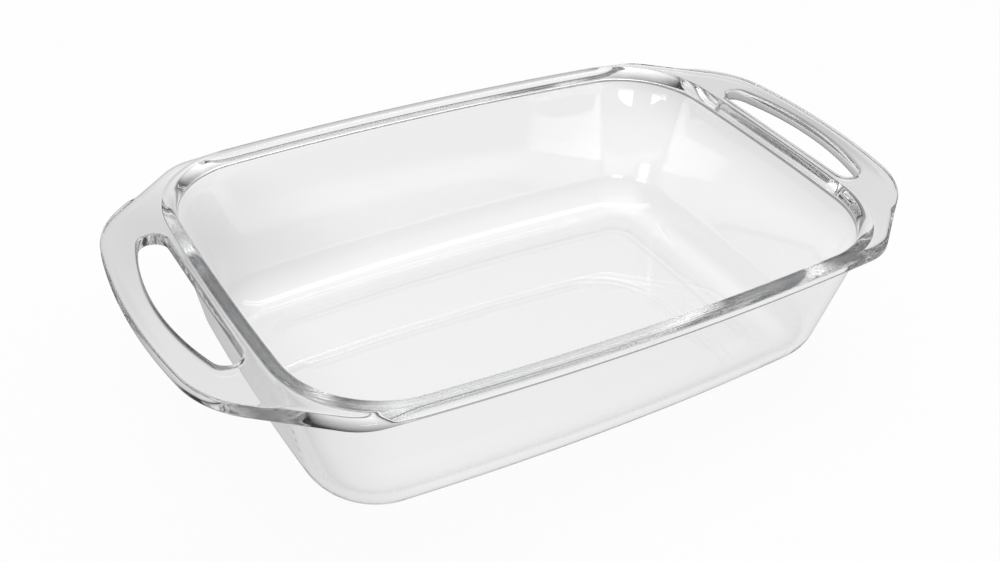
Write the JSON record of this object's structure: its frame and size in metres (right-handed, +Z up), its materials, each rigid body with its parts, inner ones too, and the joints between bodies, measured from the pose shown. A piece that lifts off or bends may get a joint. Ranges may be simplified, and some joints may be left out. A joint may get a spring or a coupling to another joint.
{
  "type": "glass baking dish",
  "caption": "Rectangular roasting dish of clear pressed glass with bowed walls, a thick rounded rim and a flat loop handle with a finger slot on each short side.",
  "frame": {"origin": "middle of the foot, on the plane that the dish stands on", "axes": "+X along the dish towards the right-hand handle, +Y across it, +Z up out of the mouth"},
  "size_m": [0.4, 0.2292, 0.085],
  "materials": {
    "clear_glass": "polished"
  },
  "bodies": {
    "root": {"floor": "clear_glass", "front_wall": "clear_glass", "back_wall": "clear_glass", "left_wall": "clear_glass", "right_wall": "clear_glass", "corner_walls": "clear_glass", "front_rim": "clear_glass", "back_rim": "clear_glass", "left_rim": "clear_glass", "right_rim": "clear_glass", "corner_rims": "clear_glass", "left_handle": "clear_glass", "right_handle": "clear_glass"}
  },
  "joints": []
}
